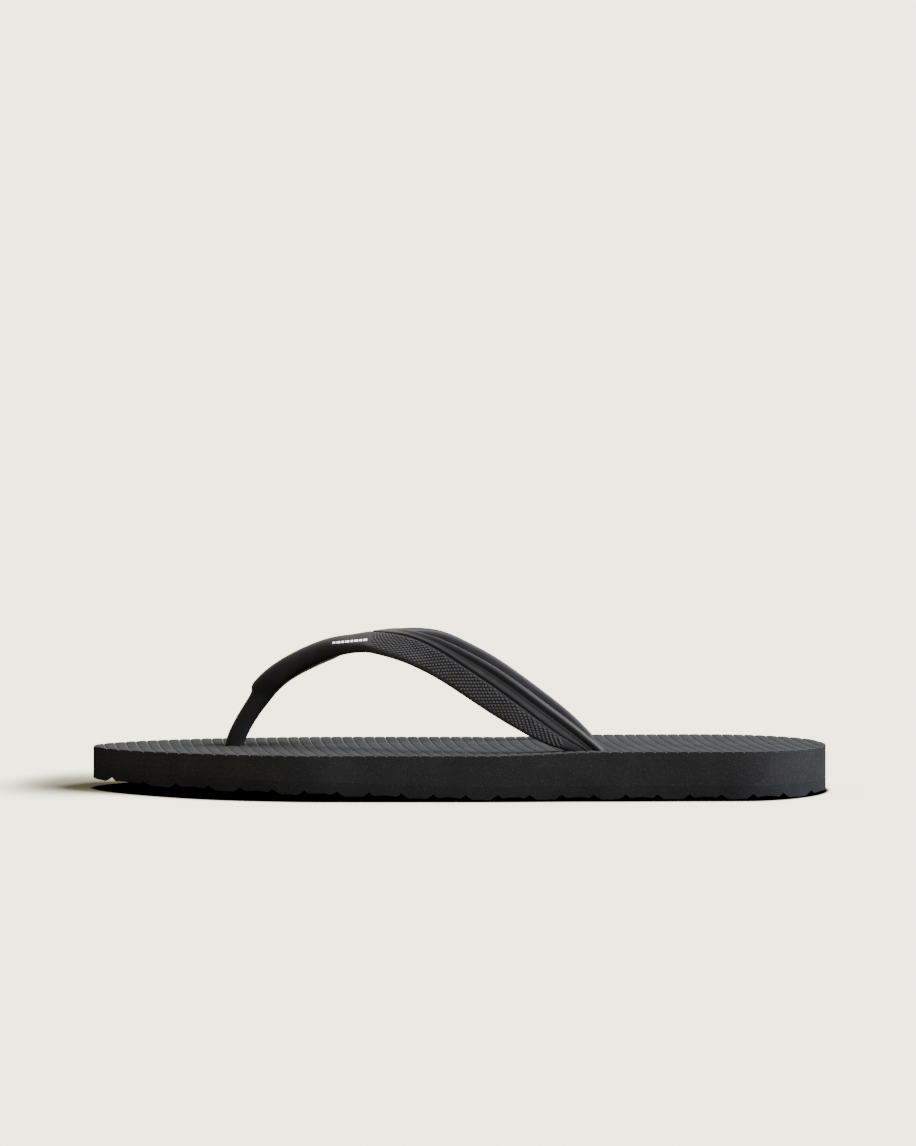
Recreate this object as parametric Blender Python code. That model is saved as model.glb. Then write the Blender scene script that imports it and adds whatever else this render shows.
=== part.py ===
"""Left flip flop: a laminated foam sole with a one-piece moulded thong strap.

Metres, +Z up. +X points to the heel, -Y to the outer side of the foot. The origin is the
middle of the ground rectangle that the sandal covers.
"""
import math
from collections import namedtuple

import bmesh
import bpy
from mathutils import Vector

# Sole outline, seen from above. Distances along the sole start at the toe tip.
SOLE_LENGTH = 0.285
BALL_WIDTH = 0.098
WAIST_WIDTH = 0.0902
HEEL_WIDTH = 0.0908
TOE_TAPER = 0.095          # toe tip to the full ball width
BALL_END = 0.145           # where the ball starts to narrow
WAIST_AT = 0.192           # narrowest place
HEEL_ROUND = 0.0445        # length of the rounded heel end
TOE_SHIFT = 0.003          # toe tip towards the inner side
WAIST_SHIFT = -0.0018      # waist towards the outer side
TOE_FULLNESS = 1.7         # power of the tapered toe's outline
TOE_BLUNTNESS = 0.55
HEEL_SQUARENESS = 2.2      # 2 is a round heel

# Sole heights
FOREFOOT_TOP = 0.0164      # foot surface above the ground at the ball
HEEL_TOP = 0.0177          # foot surface above the ground at the heel
TOP_RISE_FROM = 0.155      # the foot surface rises between these two places
TOP_RISE_TO = 0.198
TOE_SPRING = 0.004         # how far the toe tip stands off the ground
SPRING_LENGTH = 0.145      # toe tip to where the sole meets the ground
SPRING_POWER = 0.8         # below 1 the sole leaves the ground quickly
SPRING_SOFTNESS = 0.05     # share of the length over which it starts to lift
FOOTBED_THICKNESS = 0.0030
OUTSOLE_THICKNESS = 0.0050
GAP = 0.0003               # clearance between neighbouring pieces

# Tread: straight grooves right across the underside
GROOVE_DEPTH = 0.0017
GROOVE_MOUTH = 0.0046
GROOVE_ROOF = 0.0009
GROOVE_PITCH = 0.01183
FIRST_GROOVE = 0.0098      # from the toe tip
TOE_STRETCH = 0.00215      # extra pitch after the first groove
STRETCH_FADE = 0.6         # share of the extra pitch kept from groove to groove
HEEL_MARGIN = 0.006        # lug left behind the last groove

# Strap
POST_X = -0.0871           # where the toe post enters the footbed
POST_Y = 0.003
BASE_X = 0.0475            # where the two branches enter the footbed
OUTER_INSET = 0.0080       # branch to the sole's edge on the outer side
INNER_INSET = 0.0155       # branch to the sole's edge on the inner side
STRAP_REACH = 0.0388       # sideways reach that the half strap below is drawn with
STRAP_HEIGHT = 1.0         # 1 is the drawn height
BRANCH_THICKNESS = 0.0034
FOOT_WIDTH = 0.0153        # blade's width where it enters the footbed
INNER_LIFT = 0.0023        # how much higher the inner branch arches
STEM_SINK = 0.002          # how far the stems reach up into the strap
POST_WIDTH = 0.0072

# Stems and plugs
TOE_STEM = (0.0052, 0.0052)
SIDE_STEM = (0.0090, 0.0030)
TOE_PLUG = (0.0200, 0.0200)
SIDE_PLUG = (0.0200, 0.0100)
PLUG_THICKNESS = 0.0024
PLUG_SKIN = 0.0010         # plug left under the stem
PLUG_RECESS = 0.0008       # plug face above the lugs

OUTLINE_STEPS = 24
SPRING_STEPS = 14
ROUND_STEPS = 24
CUT_MARGIN = 0.01

Anchor = namedtuple("Anchor", "name x y stem plug")
Station = namedtuple("Station", "front rear")


def mm(x, y, z):
    """A point given in millimetres, as a vector in metres."""
    return Vector((x, y, z)) * 0.001


def ease(value, start, end):
    """0 before start, 1 after end, smooth in between."""
    t = min(max((value - start) / (end - start), 0.0), 1.0)
    return t * t * (3.0 - 2.0 * t)


# ---------------------------------------------------------------- sole outline

def side_widths():
    """(distance from the toe tip, half width) from the toe tip to the heel tip."""
    points = []
    for i in range(OUTLINE_STEPS + 1):
        angle = 0.5 * math.pi * i / OUTLINE_STEPS
        along = TOE_TAPER * (1.0 - math.cos(angle) ** (2.0 / TOE_FULLNESS))
        points.append((along, 0.5 * BALL_WIDTH * math.sin(angle) ** (2.0 * TOE_BLUNTNESS)))
    heel_start = SOLE_LENGTH - HEEL_ROUND
    for i in range(OUTLINE_STEPS + 1):
        along = BALL_END + (heel_start - BALL_END) * i / OUTLINE_STEPS
        points.append((along, middle_half_width(along)))
    for i in range(1, OUTLINE_STEPS + 1):
        angle = 0.5 * math.pi * i / OUTLINE_STEPS
        along = heel_start + HEEL_ROUND * math.sin(angle) ** (2.0 / HEEL_SQUARENESS)
        width = 0.5 * HEEL_WIDTH * math.cos(angle) ** (2.0 / HEEL_SQUARENESS)
        points.append((along, max(width, 0.0)))
    return points


def middle_half_width(along):
    """Half width between the ball and the rounded heel."""
    heel_start = SOLE_LENGTH - HEEL_ROUND
    to_waist = ease(along, BALL_END, WAIST_AT)
    to_heel = ease(along, WAIST_AT, heel_start)
    width = BALL_WIDTH + (WAIST_WIDTH - BALL_WIDTH) * to_waist
    return 0.5 * (width + (HEEL_WIDTH - WAIST_WIDTH) * to_heel)


def centre_shift(along):
    """Sideways place of the outline's middle line."""
    toe = TOE_SHIFT * (1.0 - ease(along, 0.0, TOE_TAPER))
    waist_in = ease(along, BALL_END, WAIST_AT)
    waist_out = 1.0 - ease(along, WAIST_AT, SOLE_LENGTH - HEEL_ROUND)
    return toe + WAIST_SHIFT * waist_in * waist_out


def outline():
    """The closed outline: down the outer side to the heel, and back up the inner side."""
    widths = side_widths()
    outer = [(a - 0.5 * SOLE_LENGTH, centre_shift(a) - w) for a, w in widths]
    inner = [(a - 0.5 * SOLE_LENGTH, centre_shift(a) + w) for a, w in widths]
    return outer + inner[-2:0:-1]


# ---------------------------------------------------------------- sole heights

def foot_surface(x):
    """Height of the footbed's top."""
    rise = ease(x + 0.5 * SOLE_LENGTH, TOP_RISE_FROM, TOP_RISE_TO)
    return FOREFOOT_TOP + (HEEL_TOP - FOREFOOT_TOP) * rise


def underside(x):
    """Height of the lugs' faces: flat on the ground, and lifted under the toes."""
    lift = 1.0 - (x + 0.5 * SOLE_LENGTH) / SPRING_LENGTH
    if lift <= 0.0:
        return 0.0
    soft = SPRING_SOFTNESS ** 2
    power = 0.5 * SPRING_POWER
    start = soft ** power
    rise = (lift * lift + soft) ** power - start
    return TOE_SPRING * rise / ((1.0 + soft) ** power - start)


def along_sole():
    """Places along the sole where its long curves are drawn, a little past both ends."""
    toe = -0.5 * SOLE_LENGTH
    places = [toe - CUT_MARGIN]
    places += [toe + SPRING_LENGTH * i / SPRING_STEPS for i in range(SPRING_STEPS + 1)]
    for i in range(9):
        places.append(toe + TOP_RISE_FROM + (TOP_RISE_TO - TOP_RISE_FROM) * i / 8)
    places.append(toe + SOLE_LENGTH + CUT_MARGIN)
    return places


def groove_places():
    """Middle of each tread groove."""
    toe = -0.5 * SOLE_LENGTH
    places = [toe + FIRST_GROOVE]
    last = toe + SOLE_LENGTH - HEEL_MARGIN
    stretch = TOE_STRETCH
    while places[-1] + GROOVE_PITCH + stretch < last:
        places.append(places[-1] + GROOVE_PITCH + stretch)
        stretch *= STRETCH_FADE
    return places


def tread_line():
    """The outsole's lower edge seen from the side, with its grooves."""
    toe = -0.5 * SOLE_LENGTH
    line = [(toe - CUT_MARGIN, underside(toe))]
    for x in groove_places():
        roof = underside(x) + GROOVE_DEPTH
        line.append((x - 0.5 * GROOVE_MOUTH, underside(x - 0.5 * GROOVE_MOUTH)))
        line.append((x - 0.5 * GROOVE_ROOF, roof))
        line.append((x + 0.5 * GROOVE_ROOF, roof))
        line.append((x + 0.5 * GROOVE_MOUTH, underside(x + 0.5 * GROOVE_MOUTH)))
    line.append((toe + SOLE_LENGTH + CUT_MARGIN, 0.0))
    return line


def outsole_top(x):
    return underside(x) + OUTSOLE_THICKNESS


def core_bottom(x):
    return outsole_top(x) + GAP


def core_top(x):
    return footbed_bottom(x) - GAP


def footbed_bottom(x):
    return foot_surface(x) - FOOTBED_THICKNESS


# ---------------------------------------------------------------- making objects

def clear_scene():
    for old in list(bpy.data.objects):
        bpy.data.objects.remove(old, do_unlink=True)


def make_material(name, colour, roughness):
    material = bpy.data.materials.new(name)
    material.use_nodes = True
    shader = material.node_tree.nodes["Principled BSDF"]
    shader.inputs["Base Color"].default_value = (*colour, 1.0)
    shader.inputs["Roughness"].default_value = roughness
    shader.inputs["Metallic"].default_value = 0.0
    return material


def make_object(name, mesh_data, material=None):
    """An object for a finished bmesh."""
    mesh = bpy.data.meshes.new(name)
    bmesh.ops.recalc_face_normals(mesh_data, faces=mesh_data.faces)
    mesh_data.to_mesh(mesh)
    mesh_data.free()
    made = bpy.data.objects.new(name, mesh)
    bpy.context.collection.objects.link(made)
    if material is not None:
        mesh.materials.append(material)
    return made


def as_cutter(made):
    made.hide_render = True
    made.display_type = "WIRE"
    return made


def add_boolean(target, other, operation):
    step = target.modifiers.new(operation.title(), "BOOLEAN")
    step.solver = "EXACT"
    step.operation = operation
    step.object = other


def add_prism(mesh_data, ring, travel):
    """A closed prism: the flat ring of points, swept by the vector travel."""
    corners = [mesh_data.verts.new(point) for point in ring]
    face = mesh_data.faces.new(corners)
    grown = bmesh.ops.extrude_face_region(mesh_data, geom=[face])["geom"]
    moved = [item for item in grown if isinstance(item, bmesh.types.BMVert)]
    bmesh.ops.translate(mesh_data, verts=moved, vec=travel)


def stadium(anchor, size, grow, z):
    """A ring with round ends, size = (length, width), grown all round by grow."""
    radius = 0.5 * size[1] + grow
    straight = 0.5 * (size[0] - size[1])
    ring = []
    for i in range(ROUND_STEPS):
        angle = 2.0 * math.pi * (i + 0.5) / ROUND_STEPS
        side = math.copysign(straight, math.cos(angle))
        x = anchor.x + side + radius * math.cos(angle)
        ring.append(Vector((x, anchor.y + radius * math.sin(angle), z)))
    return ring


# ---------------------------------------------------------------- sole

def edge_at(x, side):
    """The outline's y at x, on the side -1 (outer) or +1 (inner)."""
    along = x + 0.5 * SOLE_LENGTH
    points = side_widths()
    for (a0, w0), (a1, w1) in zip(points, points[1:]):
        if a0 <= along <= a1 and a1 > a0:
            width = w0 + (w1 - w0) * (along - a0) / (a1 - a0)
            return centre_shift(along) + side * width
    return centre_shift(along)


def anchors():
    """The three places where the strap goes through the sole."""
    outer_y = edge_at(BASE_X, -1) + OUTER_INSET
    inner_y = edge_at(BASE_X, 1) - INNER_INSET
    return [
        Anchor("toe_plug", POST_X, POST_Y, TOE_STEM, TOE_PLUG),
        Anchor("outer_plug", BASE_X, outer_y, SIDE_STEM, SIDE_PLUG),
        Anchor("inner_plug", BASE_X, inner_y, SIDE_STEM, SIDE_PLUG),
    ]


def outline_block():
    data = bmesh.new()
    ring = [Vector((x, y, -CUT_MARGIN)) for x, y in outline()]
    add_prism(data, ring, Vector((0.0, 0.0, HEEL_TOP + 2.0 * CUT_MARGIN)))
    return as_cutter(make_object("outline_block", data))


def stem_holes():
    data = bmesh.new()
    for anchor in anchors():
        ring = stadium(anchor, anchor.stem, GAP, -CUT_MARGIN)
        add_prism(data, ring, Vector((0.0, 0.0, HEEL_TOP + 2.0 * CUT_MARGIN)))
    return as_cutter(make_object("stem_holes", data))


def plug_floor(anchor):
    """Height of the plug's lower face."""
    return underside(anchor.x) + PLUG_RECESS


def plug_recesses():
    data = bmesh.new()
    for anchor in anchors():
        ring = stadium(anchor, anchor.plug, GAP, -CUT_MARGIN)
        roof = plug_floor(anchor) + PLUG_THICKNESS + GAP
        add_prism(data, ring, Vector((0.0, 0.0, roof + CUT_MARGIN)))
    return as_cutter(make_object("plug_recesses", data))


def sole_layer(name, lower, upper, material, cutters):
    """One sheet of the sole: its side view swept across, cut to the outline and pierced."""
    data = bmesh.new()
    reach = 0.5 * BALL_WIDTH + CUT_MARGIN
    ring = [Vector((x, -reach, z)) for x, z in lower + upper[::-1]]
    add_prism(data, ring, Vector((0.0, 2.0 * reach, 0.0)))
    layer = make_object(name, data, material)
    add_boolean(layer, cutters["outline"], "INTERSECT")
    add_boolean(layer, cutters["holes"], "DIFFERENCE")
    return layer


def build_sole(cutters):
    places = along_sole()
    footbed = make_material("footbed_foam", (0.060, 0.060, 0.063), 0.75)
    core = make_material("core_foam", (0.016, 0.015, 0.015), 0.85)
    tread = make_material("tread_foam", (0.014, 0.014, 0.014), 0.80)
    sole_layer("footbed_sheet", [(x, footbed_bottom(x)) for x in places],
               [(x, foot_surface(x)) for x in places], footbed, cutters)
    sole_layer("midsole_core", [(x, core_bottom(x)) for x in places],
               [(x, core_top(x)) for x in places], core, cutters)
    outsole = sole_layer("outsole_tread", tread_line(),
                         [(x, outsole_top(x)) for x in places], tread, cutters)
    add_boolean(outsole, cutters["recesses"], "DIFFERENCE")


def build_plugs():
    """A disc under each stem, with a blind socket for the stem's end."""
    material = make_material("plug_rubber", (0.013, 0.013, 0.013), 0.55)
    for anchor in anchors():
        floor = plug_floor(anchor)
        body = bmesh.new()
        add_prism(body, stadium(anchor, anchor.plug, 0.0, floor),
                  Vector((0.0, 0.0, PLUG_THICKNESS)))
        plug = make_object(anchor.name, body, material)
        socket = bmesh.new()
        add_prism(socket, stadium(anchor, anchor.stem, GAP, floor + PLUG_SKIN),
                  Vector((0.0, 0.0, PLUG_THICKNESS)))
        add_boolean(plug, as_cutter(make_object(anchor.name + "_socket", socket)), "DIFFERENCE")


# ---------------------------------------------------------------- strap

def half_strap():
    """The strap's front and rear edges from a branch's foot to the middle of the yoke.

    Millimetres: x, distance from the strap's middle line, height above the forefoot's
    foot surface.
    """
    return [
        Station(mm(30.9, 39.4, 4.2), mm(45.5, 38.3, 9.4)),
        Station(mm(18.5, 38.5, 10.9), mm(29.0, 37.4, 21.8)),
        Station(mm(8.2, 36.5, 17.3), mm(15.7, 34.0, 31.2)),
        Station(mm(-2.5, 33.5, 24.3), mm(4.5, 29.5, 37.3)),
        Station(mm(-11.5, 30.0, 29.6), mm(-6.0, 22.5, 42.0)),
        Station(mm(-22.5, 25.0, 34.5), mm(-15.5, 13.5, 44.0)),
        Station(mm(-32.5, 19.0, 37.3), mm(-21.0, 6.5, 44.2)),
        Station(mm(-39.5, 11.0, 40.0), mm(-23.0, 2.5, 44.2)),
        Station(mm(-42.5, 0.0, 42.0), mm(-23.3, 0.0, 44.2)),
    ]


def strap_middle(x):
    """Sideways place of the strap's middle line: over the post in front, central behind."""
    return POST_Y * (1.0 - ease(x, -0.080, 0.020))


def place_strap_point(point, side, anchor):
    """Move a point of the half strap to one side, so that its foot meets its anchor."""
    share = min(point.y / STRAP_REACH, 1.0)
    reach = abs(anchor.y - strap_middle(BASE_X))
    y = point.y * (1.0 + (reach / STRAP_REACH - 1.0) * share)
    z = FOREFOOT_TOP + point.z * STRAP_HEIGHT
    if side > 0:
        z += INNER_LIFT * ease(point.x, -0.024, -0.006) * ease(-point.x, -0.054, -0.030)
    return Vector((point.x, strap_middle(point.x) + side * y, z))


def foot_station(anchor):
    """The branch's foot: level with the footbed, the blade's full width along the sole."""
    half = 0.5 * FOOT_WIDTH
    top = max(foot_surface(anchor.x - half), foot_surface(anchor.x + half)) + GAP
    front = Vector((anchor.x - half, anchor.y, top))
    rear = Vector((anchor.x + half, anchor.y, top))
    return Station(front, rear)


def strap_stations():
    """All stations, from the outer foot over the yoke to the inner foot."""
    _, outer, inner = anchors()
    half = half_strap()
    stations = [foot_station(outer)]
    for point in half:
        stations.append(Station(place_strap_point(point.front, -1, outer),
                                place_strap_point(point.rear, -1, outer)))
    for point in half[-2::-1]:
        stations.append(Station(place_strap_point(point.front, 1, inner),
                                place_strap_point(point.rear, 1, inner)))
    stations.append(foot_station(inner))
    return stations


def smooth_between(points, i, t):
    """Catmull-Rom curve through the points, between points i and i + 1."""
    p0 = points[max(i - 1, 0)]
    p1 = points[i]
    p2 = points[i + 1]
    p3 = points[min(i + 2, len(points) - 1)]
    rest = 2.0 * p0 - 5.0 * p1 + 4.0 * p2 - p3
    bend = 3.0 * p1 - p0 - 3.0 * p2 + p3
    return 0.5 * (2.0 * p1 + (p2 - p0) * t + rest * t * t + bend * t * t * t)


def refine(points, steps):
    smooth = []
    for i in range(len(points) - 1):
        smooth += [smooth_between(points, i, step / steps) for step in range(steps)]
    return smooth + [points[-1]]


def loft(mesh_data, rings):
    """A closed tube through rings of equal length, with flat ends."""
    loops = [[mesh_data.verts.new(point) for point in ring] for ring in rings]
    count = len(rings[0])
    for first, second in zip(loops, loops[1:]):
        for i in range(count):
            j = (i + 1) % count
            mesh_data.faces.new((first[i], first[j], second[j], second[i]))
    mesh_data.faces.new(loops[0][::-1])
    mesh_data.faces.new(loops[-1])


def blade_ring(front, rear, up):
    """The branch's cross-section: a flat bar with rounded edges and a bead at the rear."""
    width = (rear - front).length
    across = (rear - front) / width
    half = 0.5 * BRANCH_THICKNESS
    shape = [(0.0, 0.35), (0.06, 0.85), (0.20, 1.0), (0.60, 1.0), (0.74, 1.0),
             (0.86, 1.25), (0.95, 1.0), (1.0, 0.35)]
    upper = [front + across * width * v + up * half * h for v, h in shape]
    lower = [front + across * width * v - up * half * min(h, 1.0) for v, h in shape[::-1]]
    return upper + lower


def branch_rings():
    stations = strap_stations()
    fronts = refine([station.front for station in stations], 4)
    rears = refine([station.rear for station in stations], 4)
    middles = [(front + rear) * 0.5 for front, rear in zip(fronts, rears)]
    rings = []
    for i, (front, rear) in enumerate(zip(fronts, rears)):
        ahead = middles[min(i + 1, len(middles) - 1)] - middles[max(i - 1, 0)]
        up = ahead.cross(rear - front).normalized()
        if i in (0, len(fronts) - 1):
            up = Vector((0.0, math.copysign(1.0, up.y), 0.0))
        rings.append(blade_ring(front, rear, up))
    return rings


def post_ring(front, rear, half_width):
    """The post's or the neck's cross-section, between two points of its middle plane."""
    centre = (front + rear) * 0.5
    reach = (front - rear) * 0.5
    ring = []
    for i in range(12):
        angle = 2.0 * math.pi * i / 12
        side = math.copysign(abs(math.sin(angle)) ** 0.8, math.sin(angle)) * half_width
        out = math.copysign(abs(math.cos(angle)) ** 0.8, math.cos(angle))
        ring.append(centre + reach * out + Vector((0.0, side, 0.0)))
    return ring


def post_rings():
    """Toe post and neck: front or upper point, rear or lower point, half width (mm)."""
    half = 500.0 * POST_WIDTH
    top = 1000.0 * (foot_surface(POST_X) + GAP - FOREFOOT_TOP)
    post = 1000.0 * POST_X
    neck = [
        ((post - 3.3, top), (post + 3.3, top), half),
        ((-89.6, 4.2), (-82.4, 3.6), half),
        ((-86.9, 9.8), (-80.0, 8.9), half),
        ((-82.9, 16.8), (-76.2, 14.8), half * 1.04),
        ((-80.2, 22.6), (-71.8, 19.9), half * 1.2),
        ((-77.8, 26.8), (-68.2, 23.6), half * 1.55),
        ((-71.0, 32.1), (-65.3, 25.8), 7.0),
        ((-62.0, 37.0), (-58.8, 29.6), 8.4),
        ((-52.0, 41.0), (-50.3, 33.2), 10.4),
        ((-43.0, 43.6), (-42.4, 36.6), 13.5),
        ((-34.0, 44.9), (-34.0, 40.6), 15.0),
    ]
    places = []
    for front, rear, width in neck:
        ends = []
        for x, height in (front, rear):
            y = strap_middle(0.001 * x)
            z = FOREFOOT_TOP + 0.001 * height * STRAP_HEIGHT
            ends.append(Vector((0.001 * x, y, z)))
        places.append((ends[0], ends[1], 0.001 * width))
    fronts = refine([place[0] for place in places], 3)
    rears = refine([place[1] for place in places], 3)
    widths = refine([place[2] for place in places], 3)
    return [post_ring(*place) for place in zip(fronts, rears, widths)]


def strap_stems():
    """Stems from inside the strap's three feet down into the plugs."""
    data = bmesh.new()
    for anchor in anchors():
        start = plug_floor(anchor) + PLUG_SKIN + GAP
        end = foot_surface(anchor.x) + GAP + STEM_SINK
        ring = stadium(anchor, anchor.stem, 0.0, start)
        add_prism(data, ring, Vector((0.0, 0.0, end - start)))
    return as_cutter(make_object("strap_stems", data))


def build_strap():
    material = make_material("strap_rubber", (0.020, 0.020, 0.021), 0.45)
    band = bmesh.new()
    loft(band, branch_rings())
    strap = make_object("thong_strap", band, material)
    post = bmesh.new()
    loft(post, post_rings())
    add_boolean(strap, as_cutter(make_object("post_and_neck", post)), "UNION")
    add_boolean(strap, strap_stems(), "UNION")


def main():
    clear_scene()
    cutters = {
        "outline": outline_block(),
        "holes": stem_holes(),
        "recesses": plug_recesses(),
    }
    build_sole(cutters)
    build_plugs()
    build_strap()


main()
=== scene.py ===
# %% [markdown]
# # A foam flip flop
#
# This file builds the looks of a flip flop around its fixed engineering model. The first
# cell loads that model. Everything is in metres: +X points to the heel, -Y to the outer
# side of the foot, and the ground is at Z = 0. The lesson then goes piece by piece: the
# camera and the light, the finishes, the three foam sheets of the sole, the plugs under
# it, and last the moulded strap.

# %% Load the frame
import math

import bpy
import numpy as np
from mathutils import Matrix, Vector
from mathutils.bvhtree import BVHTree
from mathutils.kdtree import KDTree


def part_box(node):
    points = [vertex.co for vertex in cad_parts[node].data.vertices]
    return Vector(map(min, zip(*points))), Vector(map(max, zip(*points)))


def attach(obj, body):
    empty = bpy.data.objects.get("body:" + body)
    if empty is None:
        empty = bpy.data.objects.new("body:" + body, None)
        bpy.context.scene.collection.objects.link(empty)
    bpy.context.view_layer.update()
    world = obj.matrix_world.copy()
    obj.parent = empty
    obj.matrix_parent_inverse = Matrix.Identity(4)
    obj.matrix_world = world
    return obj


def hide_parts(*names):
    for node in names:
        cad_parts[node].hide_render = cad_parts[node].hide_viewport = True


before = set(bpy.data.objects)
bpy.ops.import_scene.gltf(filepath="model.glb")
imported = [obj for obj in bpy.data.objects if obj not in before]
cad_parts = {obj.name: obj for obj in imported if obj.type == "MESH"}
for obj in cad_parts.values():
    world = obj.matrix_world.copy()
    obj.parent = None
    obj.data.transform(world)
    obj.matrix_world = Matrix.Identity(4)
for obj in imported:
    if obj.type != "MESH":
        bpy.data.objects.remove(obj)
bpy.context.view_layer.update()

MM = 0.001

# %% [markdown]
# Blender's operators act on whatever is selected, and the loaded model arrives selected.
# So each step starts by clearing the selection. The second helper gives the finished
# mesh its name and fixes its place: the object stays at the origin, unturned, and its
# shape sits in its vertices.

# %% Small helpers
def clear_selection():
    if bpy.context.object and bpy.context.object.mode != "OBJECT":
        bpy.ops.object.mode_set(mode="OBJECT")
    bpy.ops.object.select_all(action="DESELECT")


def make_active(piece):
    clear_selection()
    piece.select_set(True)
    bpy.context.view_layer.objects.active = piece


def name_piece(piece, name):
    piece.name = name
    piece.data.name = name
    make_active(piece)
    bpy.ops.object.transform_apply(location=True, rotation=True, scale=True)
    return piece


def finish_edit():
    """Turns every face outwards and leaves edit mode."""
    bpy.ops.mesh.select_all(action="SELECT")
    bpy.ops.mesh.normals_make_consistent(inside=False)
    bpy.ops.object.mode_set(mode="OBJECT")


def apply_modifier(piece, kind, **settings):
    """Adds a modifier to the active piece and applies it."""
    modifier = piece.modifiers.new(kind, kind)
    for key, value in settings.items():
        setattr(modifier, key, value)
    bpy.ops.object.modifier_apply(modifier=modifier.name)


def grid_index(place, steps):
    """The number of a grid's column or row, from its place between -1 and 1."""
    return np.rint((place + 1.0) * 0.5 * steps).astype(int)


def vertex_array(piece):
    flat = np.zeros(len(piece.data.vertices) * 3)
    piece.data.vertices.foreach_get("co", flat)
    return flat.reshape(-1, 3)


def set_vertices(piece, points):
    piece.data.vertices.foreach_set("co", np.asarray(points, dtype=np.float64).ravel())
    piece.data.update()


def ease(value, start, end):
    """0 before start, 1 after end, smooth in between. Takes numbers or arrays."""
    t = np.clip((np.asarray(value, dtype=float) - start) / (end - start), 0.0, 1.0)
    return t * t * (3.0 - 2.0 * t)


def select_points(piece, chosen):
    """Selects the vertices of a boolean array, and the faces that have all of theirs."""
    make_active(piece)
    mesh = piece.data
    mesh.vertices.foreach_set("select", chosen)
    for parts in (mesh.edges, mesh.polygons):
        whole = [bool(chosen[list(part.vertices)].all()) for part in parts]
        parts.foreach_set("select", whole)


def selected_points(piece):
    """A boolean array that is true for the selected vertices."""
    chosen = np.zeros(len(piece.data.vertices), dtype=bool)
    piece.data.vertices.foreach_get("select", chosen)
    return chosen

# %% [markdown]
# The camera looks straight across the outer side, level with a point just above the
# strap, from less than a metre away. A lens of about 71 mm fills the frame with the
# sandal. Being so low, it sees the footbed as a thin grey sliver.

# %% Camera
def add_camera():
    bpy.ops.object.camera_add(location=(0.0, -0.88, 0.0838), rotation=(math.pi / 2, 0.0, 0.0))
    camera = bpy.context.object
    camera.name = "camera"
    camera.data.sensor_fit = "VERTICAL"
    camera.data.sensor_height = 36.0
    camera.data.lens = 70.9
    camera.data.clip_start = 0.01
    camera.data.clip_end = 20.0
    bpy.context.scene.camera = camera


add_camera()

# %% [markdown]
# The stage is a pale floor that runs out to a pale sky with no visible line between
# them. An even sky lights the floor with its own brightness, and a soft sun adds to it.
# If the floor's paint reflects just the share that makes up for the sun, floor and sky
# come out equally bright. So the floor's colour is worked out from the two lights.

# %% Floor, sky and sun
SKY_COLOUR = np.array([1.0, 0.925, 0.715])
SKY_STRENGTH = 4.2
SUN_STRENGTH = 72.0
SUN_TILT = (math.radians(6.0), math.radians(50.0), 0.0)


def add_sky():
    world = bpy.data.worlds.new("pale_sky")
    bpy.context.scene.world = world
    world.use_nodes = True
    sky = world.node_tree.nodes["Background"]
    sky.inputs["Color"].default_value = (*SKY_COLOUR, 1.0)
    sky.inputs["Strength"].default_value = SKY_STRENGTH


def add_sun():
    bpy.ops.object.light_add(type="SUN", location=(0.0, 0.0, 1.0), rotation=SUN_TILT)
    sun = bpy.context.object
    sun.name = "soft_sun"
    sun.data.energy = SUN_STRENGTH
    sun.data.angle = math.radians(36.0)


def add_floor():
    sun_share = SUN_STRENGTH * math.cos(SUN_TILT[0]) * math.cos(SUN_TILT[1]) / math.pi
    paint = SKY_COLOUR * SKY_STRENGTH / (SKY_COLOUR * SKY_STRENGTH + sun_share)
    bpy.ops.mesh.primitive_plane_add(size=16.0)
    floor = bpy.context.object
    floor.name = "floor"
    material = bpy.data.materials.new("floor_paint")
    material.use_nodes = True
    shader = material.node_tree.nodes["Principled BSDF"]
    shader.inputs["Base Color"].default_value = (*paint, 1.0)
    shader.inputs["Roughness"].default_value = 1.0
    shader.inputs["Specular IOR Level"].default_value = 0.0
    floor.data.materials.append(material)
    print("floor paint", [round(float(v), 3) for v in paint])


clear_selection()
add_sky()
add_sun()
add_floor()

# %% [markdown]
# Several finishes share the same small effects, so each effect is a node group that is
# built once. A group takes named values in and gives colours or heights out. The foam
# group makes the pale specks and tiny pores that a die shows when it cuts through
# closed-cell foam. The grain group makes the fine skin of moulded rubber.

# %% Node group helpers
def new_group(name, inputs, outputs):
    """An empty shader node group; inputs and outputs are (name, kind, value) rows."""
    group = bpy.data.node_groups.new(name, "ShaderNodeTree")
    for label, kind, value in inputs:
        socket = group.interface.new_socket(label, in_out="INPUT", socket_type=kind)
        socket.default_value = value
    for label, kind, _ in outputs:
        group.interface.new_socket(label, in_out="OUTPUT", socket_type=kind)
    group.nodes.new("NodeGroupInput").name = "in"
    group.nodes.new("NodeGroupOutput").name = "out"
    return group


def add_node(tree, kind, settings=(), **sockets):
    """A node with its settings, and its inputs filled with values or linked sockets."""
    node = tree.nodes.new(kind)
    for key, value in dict(settings).items():
        setattr(node, key, value)
    for key, value in sockets.items():
        key = int(key[1:]) if key[1:].isdigit() else key.replace("_", " ")
        socket = node.inputs[key]
        if isinstance(value, bpy.types.NodeSocket):
            tree.links.new(value, socket)
        else:
            socket.default_value = value
    return node


def math_node(tree, operation, first, second=0.0):
    return add_node(tree, "ShaderNodeMath", {"operation": operation}, i0=first, i1=second).outputs[0]


def blend_colour(tree, share, first, second):
    node = add_node(tree, "ShaderNodeMix", {"data_type": "RGBA"})
    for index, value in ((0, share), (6, first), (7, second)):
        if isinstance(value, bpy.types.NodeSocket):
            tree.links.new(value, node.inputs[index])
        else:
            node.inputs[index].default_value = value
    return node.outputs[2]


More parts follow.
